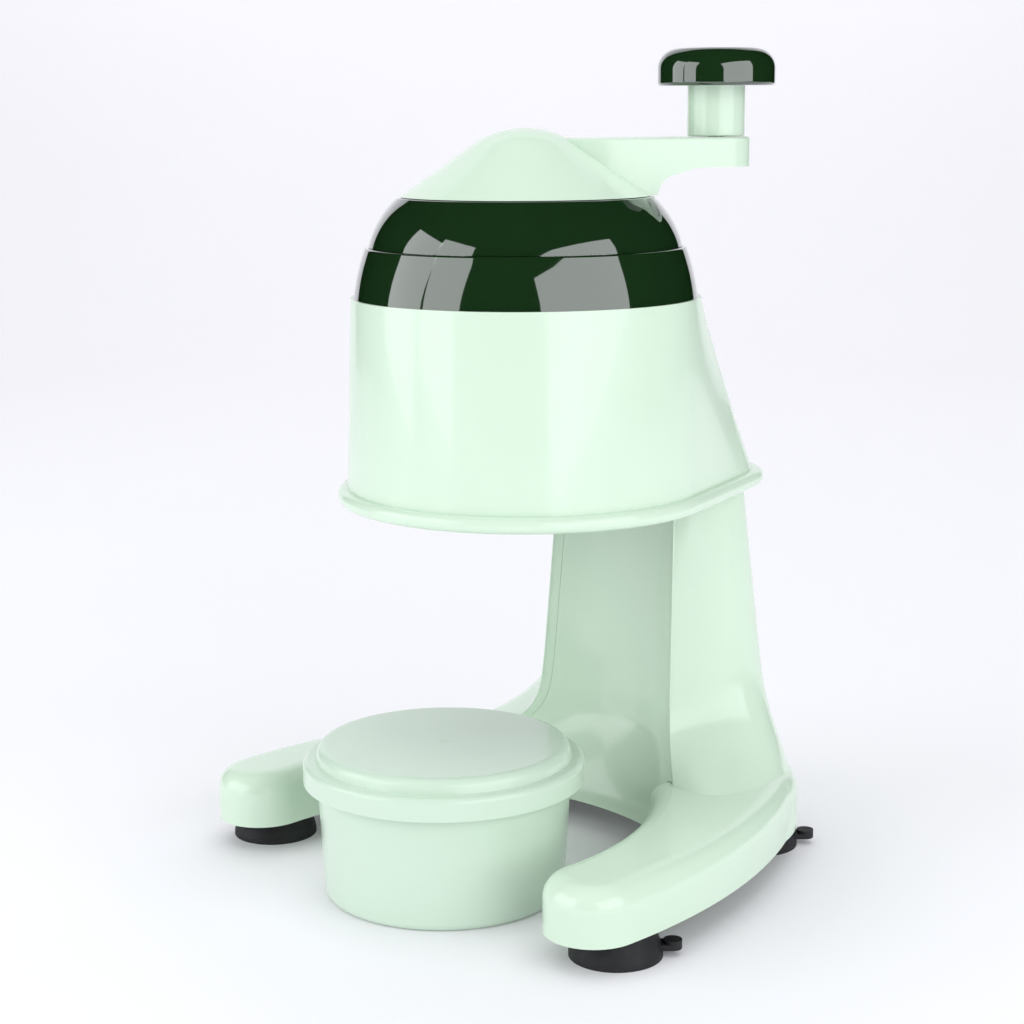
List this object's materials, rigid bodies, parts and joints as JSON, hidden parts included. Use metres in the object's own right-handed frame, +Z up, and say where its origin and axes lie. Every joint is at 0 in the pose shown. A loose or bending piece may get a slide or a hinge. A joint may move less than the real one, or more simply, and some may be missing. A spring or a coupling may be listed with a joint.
{
  "type": "ice shaver with crank",
  "caption": "Hand cranked ice shaver: pale horseshoe stand on suction cups, drum with dark lid, crank arm with knob, and a loose round ice box.",
  "frame": {"origin": "on the table, under the middle of the footprint (bottom centre of the bounding box at rest)", "axes": "+Z up along the crank's axis, -Y towards the open side of the stand where the bowl goes in, +X to the right seen from that side"},
  "size_m": [0.2326, 0.2191, 0.33],
  "materials": {
    "pale_plastic": "smooth glossy moulding, pale mint green",
    "box_plastic": "smooth glossy moulding, pale mint green",
    "dark_plastic": "smooth glossy moulding, dark bottle green",
    "cover_plastic": "satin moulding",
    "nylon": "plain nylon",
    "rubber": "smooth black rubber",
    "blade_steel": "ground steel",
    "steel": "plain drawn steel",
    "zinc": "zinc plated"
  },
  "bodies": {
    "stand": {"stand_body": "pale_plastic", "column_panel": "pale_plastic", "panel_screws": "zinc", "base_cover": "cover_plastic", "cover_screws": "zinc", "drum_screws": "zinc", "suction_cup_front_left": "rubber", "suction_cup_front_right": "rubber", "suction_cup_rear_left": "rubber", "suction_cup_rear_right": "rubber", "drum_housing": "pale_plastic", "ice_hopper": "dark_plastic", "shaving_blade": "blade_steel", "blade_screws": "zinc"},
    "lid": {"lid": "dark_plastic", "lid_bush": "nylon"},
    "crank": {"crank": "pale_plastic", "drive_hub": "cover_plastic", "hub_screws": "zinc", "hub_clip": "steel", "grip_pin": "steel", "grip_nut": "zinc", "feed_spring": "steel"},
    "grip": {"grip_stem": "pale_plastic", "grip_knob": "dark_plastic"},
    "gripper": {"drive_shaft": "steel", "stop_pin": "steel", "ice_gripper": "dark_plastic", "gripper_screw": "zinc"},
    "ice_box": {"ice_box": "box_plastic"},
    "ice_box_lid": {"ice_box_lid": "box_plastic"}
  },
  "joints": [
    {"name": "lid_lift", "type": "slide", "parent": "stand", "child": "lid", "axis": [0, 0, 1], "range_m": [0, 0.11]},
    {"name": "crank_turn", "type": "hinge", "parent": "lid", "child": "crank", "pos_m": [0, -0.0024, 0.28], "axis": [0, 0, 1], "continuous": true},
    {"name": "grip_spin", "type": "hinge", "parent": "crank", "child": "grip", "pos_m": [0.04113, 0.06552, 0.31], "axis": [0, 0, 1], "continuous": true},
    {"name": "feed", "type": "slide", "parent": "crank", "child": "gripper", "axis": [0, 0, 1], "range_m": [0, 0.042], "stiffness_N_per_m": 300, "springref_m": -0.03, "deforming": ["feed_spring"]},
    {"name": "cup_slide", "type": "slide", "parent": "stand", "child": "ice_box", "axis": [0, 1, 0], "range_m": [0, 0.036]},
    {"name": "box_lid_lift", "type": "slide", "parent": "ice_box", "child": "ice_box_lid", "axis": [0, 0, 1], "range_m": [0, 0.06]}
  ]
}
